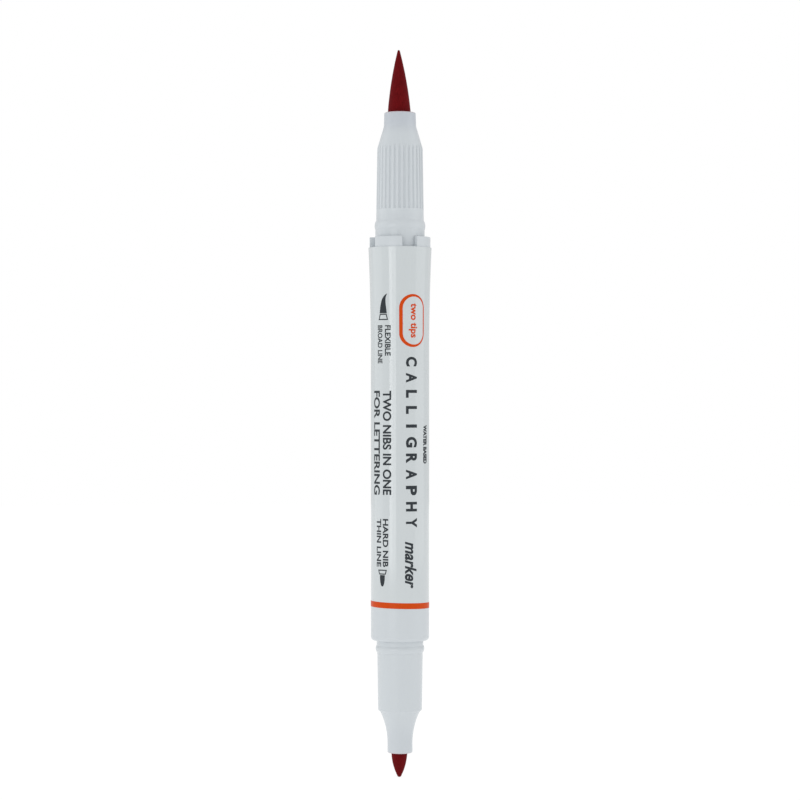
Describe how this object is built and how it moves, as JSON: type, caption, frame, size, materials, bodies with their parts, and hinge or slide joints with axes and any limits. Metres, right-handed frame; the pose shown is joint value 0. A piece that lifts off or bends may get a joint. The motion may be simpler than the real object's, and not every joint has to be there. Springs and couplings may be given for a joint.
{
  "type": "double-ended calligraphy marker",
  "caption": "Uncapped double-ended calligraphy marker with a flexible brush nib, a firm fine nib, a white barrel and a fluted grip.",
  "frame": {"origin": "on the marker's axis, halfway along the barrel, where a holder grips it", "axes": "+Z along the marker towards the brush nib, +X to the right and -Y towards the viewer, who sees the print"},
  "size_m": [0.0116, 0.0116, 0.1344],
  "materials": {
    "barrel_plastic": "moulded white polypropylene, satin",
    "printed_film": "thin glossy printed film over white plastic",
    "holder_plastic": "moulded white polypropylene, satin",
    "inked_felt": "dense polyester felt soaked with dark red ink",
    "inked_fibre": "bundled fibre soaked with dark red ink",
    "clear_film": "thin clear film",
    "dark_print": "dark grey printing ink",
    "orange_print": "orange printing ink"
  },
  "bodies": {
    "marker": {"barrel": "barrel_plastic", "label_film": "printed_film", "brush_section": "holder_plastic", "fine_section": "holder_plastic", "fine_nib": "inked_felt", "ink_reservoir": "inked_fibre", "reservoir_wrap": "clear_film"},
    "brush_tip": {"brush_nib": "inked_felt"}
  },
  "joints": [
    {"name": "brush_flex", "type": "hinge", "parent": "marker", "child": "brush_tip", "pos_m": [0, 0, 0.0647], "axis": [0, 1, 0], "range_deg": [-30, 30], "stiffness_Nm_per_rad": 0.011, "deforming": ["brush_nib"]}
  ]
}
